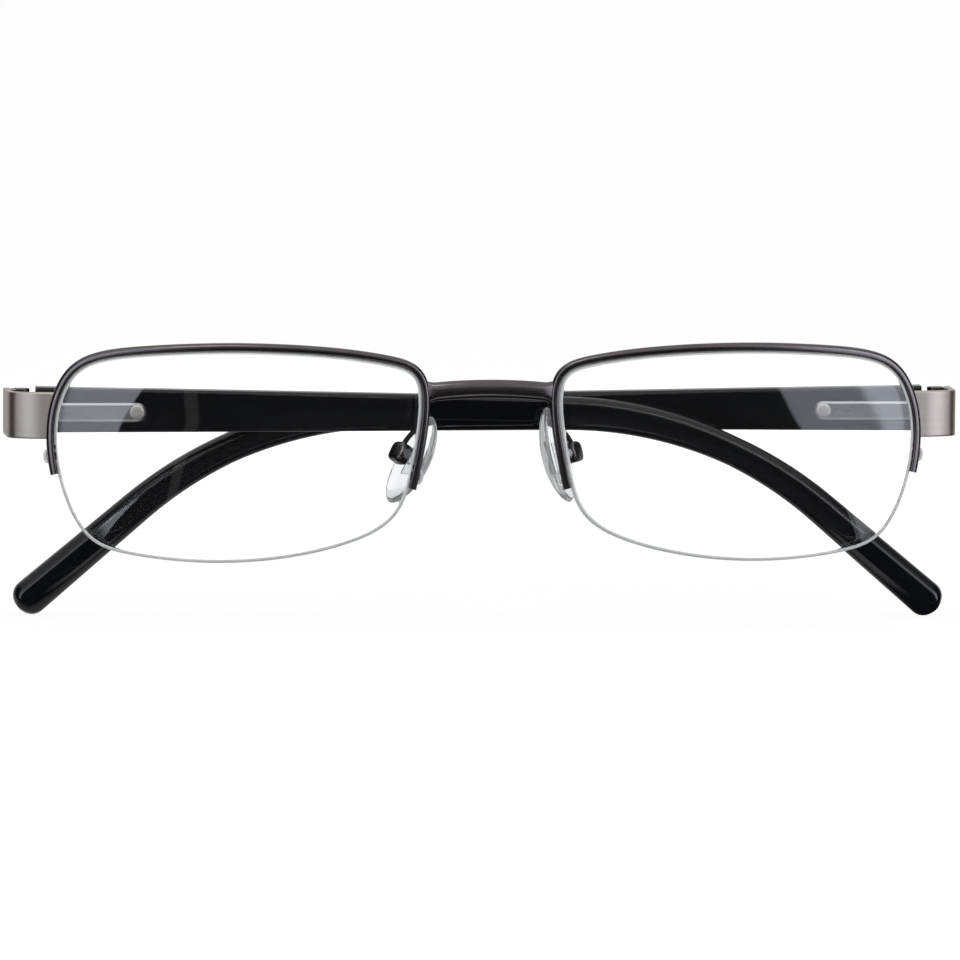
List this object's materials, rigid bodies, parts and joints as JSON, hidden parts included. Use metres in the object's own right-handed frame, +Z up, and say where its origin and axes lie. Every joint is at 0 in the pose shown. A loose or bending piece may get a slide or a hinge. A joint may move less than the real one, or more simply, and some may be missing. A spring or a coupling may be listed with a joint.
{
  "type": "reading glasses",
  "caption": "Folded semi-rimless reading glasses: metal upper rims, clear lenses held by nylon cords, rocking nose pads and black temples on spring hinges.",
  "frame": {"origin": "middle of the nose gap, at the height of the lens centres and at the front of the lenses' nose-side edges", "axes": "+X to the wearer's left across the front, +Y back towards the ears, +Z up as worn; the temples are folded"},
  "size_m": [0.1428, 0.0213, 0.0419],
  "materials": {
    "gunmetal": "gloss gunmetal plating",
    "brushed_plate": "brushed, warm grey",
    "housing": "satin",
    "steel": "bright",
    "temple": "polished black",
    "lens": "clear, polished",
    "pad": "clear soft pad",
    "cord": "clear nylon"
  },
  "bodies": {
    "front": {"bridge": "gunmetal", "right_rim": "gunmetal", "right_end_piece": "brushed_plate", "right_front_hinge": "gunmetal", "right_lens": "lens", "right_liner": "cord", "right_lower_cord": "cord", "right_pad_arm": "gunmetal", "right_pad_box": "gunmetal", "right_pad_screw": "steel", "right_hinge_screw": "steel", "left_rim": "gunmetal", "left_end_piece": "brushed_plate", "left_front_hinge": "gunmetal", "left_lens": "lens", "left_liner": "cord", "left_lower_cord": "cord", "left_pad_arm": "gunmetal", "left_pad_box": "gunmetal", "left_pad_screw": "steel", "left_hinge_screw": "steel"},
    "right_tongue": {"right_hinge_tongue": "steel", "right_spring_stop": "steel"},
    "right_temple": {"right_temple": "temple", "right_spring_housing": "housing", "right_hinge_spring": "steel", "right_housing_pin": "steel"},
    "right_pad": {"right_nose_pad": "pad", "right_pad_core": "steel"},
    "left_tongue": {"left_hinge_tongue": "steel", "left_spring_stop": "steel"},
    "left_temple": {"left_temple": "temple", "left_spring_housing": "housing", "left_hinge_spring": "steel", "left_housing_pin": "steel"},
    "left_pad": {"left_nose_pad": "pad", "left_pad_core": "steel"}
  },
  "joints": [
    {"name": "right_hinge", "type": "hinge", "parent": "front", "child": "right_tongue", "pos_m": [-0.06883, 0.014, 0.00575], "axis": [0, 0, 1], "range_deg": [0, 93.6]},
    {"name": "right_flex", "type": "slide", "parent": "right_tongue", "child": "right_temple", "axis": [0.9996, -0.0279, 0], "range_m": [0, 0.0012], "stiffness_N_per_m": 1500, "springref_m": -0.001, "deforming": ["right_hinge_spring"]},
    {"name": "right_pad_rock", "type": "hinge", "parent": "front", "child": "right_pad", "pos_m": [-0.01305, 0.0059, 0.00025], "axis": [-0.5299, 0.848, 0], "range_deg": [-8, 8]},
    {"name": "left_hinge", "type": "hinge", "parent": "front", "child": "left_tongue", "pos_m": [0.06883, 0.014, 0.00575], "axis": [0, 0, -1], "range_deg": [0, 90.4]},
    {"name": "left_flex", "type": "slide", "parent": "left_tongue", "child": "left_temple", "axis": [-0.9996, 0.0279, 0], "range_m": [0, 0.0012], "stiffness_N_per_m": 1500, "springref_m": -0.001, "deforming": ["left_hinge_spring"]},
    {"name": "left_pad_rock", "type": "hinge", "parent": "front", "child": "left_pad", "pos_m": [0.01305, 0.0059, 0.00025], "axis": [0.5299, 0.848, 0], "range_deg": [-8, 8]}
  ]
}
